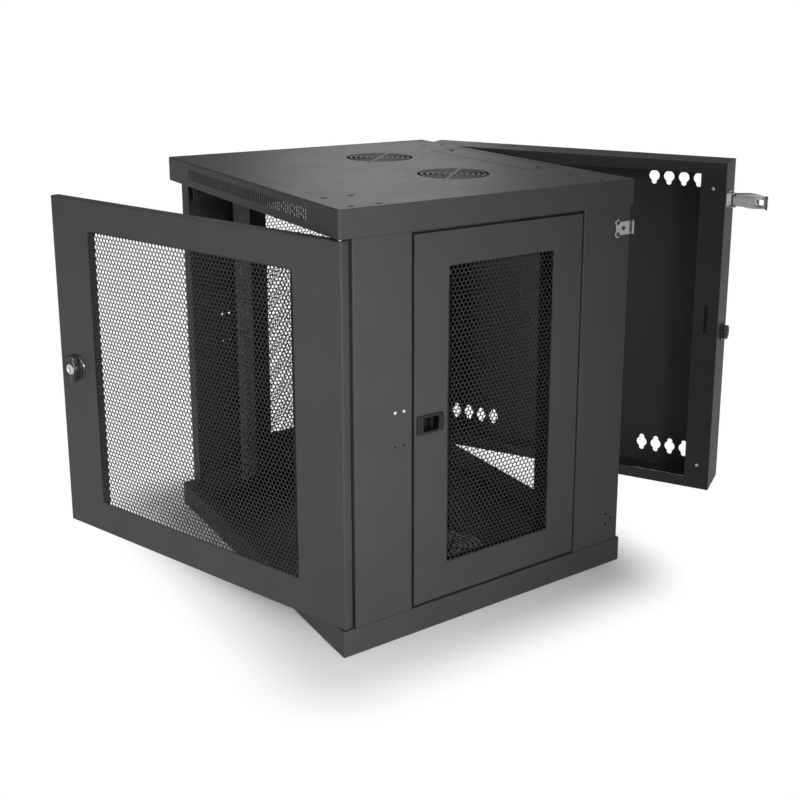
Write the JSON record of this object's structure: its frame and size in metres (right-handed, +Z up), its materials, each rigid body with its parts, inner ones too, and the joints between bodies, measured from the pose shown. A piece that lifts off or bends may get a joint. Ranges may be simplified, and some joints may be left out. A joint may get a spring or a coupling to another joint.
{
  "type": "wall mount network cabinet",
  "caption": "Swing-out wall mount network cabinet with perforated front door, removable side panels, rack rails, fan grilles and a hinged rear section that hangs on the wall.",
  "frame": {"origin": "middle of the cabinet body's underside", "axes": "+Z up, front towards -Y, rear section towards +Y, +X to the right seen from the front"},
  "size_m": [0.6438, 1.115, 0.637],
  "materials": {
    "powder_coated_sheet": "fine satin powder coat, dark charcoal",
    "perforated_sheet": "punched sheet in the same powder coat",
    "zinc_steel": "zinc-plated, slightly dull",
    "black_lock_parts": "smooth black, half gloss",
    "bright_cylinder": "polished"
  },
  "bodies": {
    "cabinet": {"top_tray": "powder_coated_sheet", "bottom_tray": "powder_coated_sheet", "top_cable_cover": "powder_coated_sheet", "bottom_cable_cover": "powder_coated_sheet", "top_cover_screws": "zinc_steel", "bottom_cover_screws": "zinc_steel", "front_right_post": "powder_coated_sheet", "front_left_post": "powder_coated_sheet", "rear_right_post": "powder_coated_sheet", "rear_left_post": "powder_coated_sheet", "lower_right_rail_channel": "powder_coated_sheet", "lower_left_rail_channel": "powder_coated_sheet", "upper_right_rail_channel": "powder_coated_sheet", "upper_left_rail_channel": "powder_coated_sheet", "front_right_rail": "zinc_steel", "front_left_rail": "zinc_steel", "rear_right_rail": "zinc_steel", "rear_left_rail": "zinc_steel", "rail_bolts": "zinc_steel", "cabinet_hinge_leaves": "powder_coated_sheet", "rear_hinge_pins": "zinc_steel", "catch_plate": "zinc_steel", "catch_plate_screws": "zinc_steel"},
    "front_door": {"front_door_frame": "powder_coated_sheet", "front_door_mesh": "perforated_sheet", "door_stiffeners": "powder_coated_sheet", "door_hinge_pins": "zinc_steel", "door_lock_housing": "black_lock_parts", "door_lock_nut": "zinc_steel"},
    "door_lock": {"door_lock_knob": "black_lock_parts", "door_lock_cam": "zinc_steel", "door_cam_screw": "zinc_steel"},
    "door_key": {"door_key_cylinder": "bright_cylinder"},
    "rear_section": {"wall_section": "powder_coated_sheet", "section_top_cover": "powder_coated_sheet", "section_bottom_cover": "powder_coated_sheet", "section_cover_screws": "zinc_steel", "section_flange_screws": "zinc_steel", "section_hinge_leaves": "powder_coated_sheet", "rear_lock_housing": "black_lock_parts", "rear_lock_nut": "zinc_steel", "draw_latch_base": "zinc_steel", "draw_latch_rivets": "zinc_steel", "draw_latch_lever_pin": "zinc_steel"},
    "rear_lock": {"rear_lock_knob": "black_lock_parts", "rear_lock_cam": "zinc_steel", "rear_cam_screw": "zinc_steel"},
    "rear_key": {"rear_key_cylinder": "bright_cylinder"},
    "latch_lever": {"draw_latch_lever": "zinc_steel", "draw_latch_hook_pin": "zinc_steel"},
    "latch_hook": {"draw_latch_hook": "zinc_steel"},
    "right_panel": {"right_side_panel": "powder_coated_sheet", "right_panel_mesh": "perforated_sheet", "right_panel_latch_housing": "black_lock_parts"},
    "right_slider": {"right_panel_latch_slider": "black_lock_parts"},
    "left_panel": {"left_side_panel": "powder_coated_sheet", "left_panel_mesh": "perforated_sheet", "left_panel_latch_housing": "black_lock_parts"},
    "left_slider": {"left_panel_latch_slider": "black_lock_parts"}
  },
  "joints": [
    {"name": "front_door_hinge", "type": "hinge", "parent": "cabinet", "child": "front_door", "pos_m": [0.291, -0.2505, 0.3175], "axis": [0, 0, 1], "range_deg": [-21, 159]},
    {"name": "door_lock_turn", "type": "hinge", "parent": "front_door", "child": "door_lock", "pos_m": [-0.21903, -0.45378, 0.317], "axis": [-0.3584, 0.9336, 0], "range_deg": [0, 90]},
    {"name": "door_key_turn", "type": "hinge", "parent": "door_lock", "child": "door_key", "pos_m": [-0.21903, -0.45378, 0.317], "axis": [0.3584, -0.9336, 0], "range_deg": [0, 90]},
    {"name": "rear_section_hinge", "type": "hinge", "parent": "cabinet", "child": "rear_section", "pos_m": [-0.3015, 0.25875, 0.3175], "axis": [0, 0, 1], "range_deg": [-31, 64]},
    {"name": "rear_lock_turn", "type": "hinge", "parent": "rear_section", "child": "rear_lock", "pos_m": [0.18341, 0.6099, 0.306], "axis": [0.8572, 0.515, 0], "range_deg": [0, 72]},
    {"name": "rear_key_turn", "type": "hinge", "parent": "rear_lock", "child": "rear_key", "pos_m": [0.18341, 0.6099, 0.306], "axis": [0.8572, 0.515, 0], "range_deg": [0, 90]},
    {"name": "latch_lever_turn", "type": "hinge", "parent": "rear_section", "child": "latch_lever", "pos_m": [0.21326, 0.58351, 0.56], "axis": [0, 0, -1], "range_deg": [-90, 0]},
    {"name": "latch_hook_turn", "type": "hinge", "parent": "latch_lever", "child": "latch_hook", "pos_m": [0.22269, 0.59501, 0.56], "axis": [0, 0, 1], "range_deg": [0, 125]},
    {"name": "right_panel_off", "type": "slide", "parent": "cabinet", "child": "right_panel", "axis": [1, 0, 0], "range_m": [0, 0.1]},
    {"name": "right_slide_latch", "type": "slide", "parent": "right_panel", "child": "right_slider", "axis": [0, -1, 0], "range_m": [0, 0.01]},
    {"name": "left_panel_off", "type": "slide", "parent": "cabinet", "child": "left_panel", "axis": [-1, 0, 0], "range_m": [0, 0.1]},
    {"name": "left_slide_latch", "type": "slide", "parent": "left_panel", "child": "left_slider", "axis": [0, -1, 0], "range_m": [0, 0.01]}
  ]
}
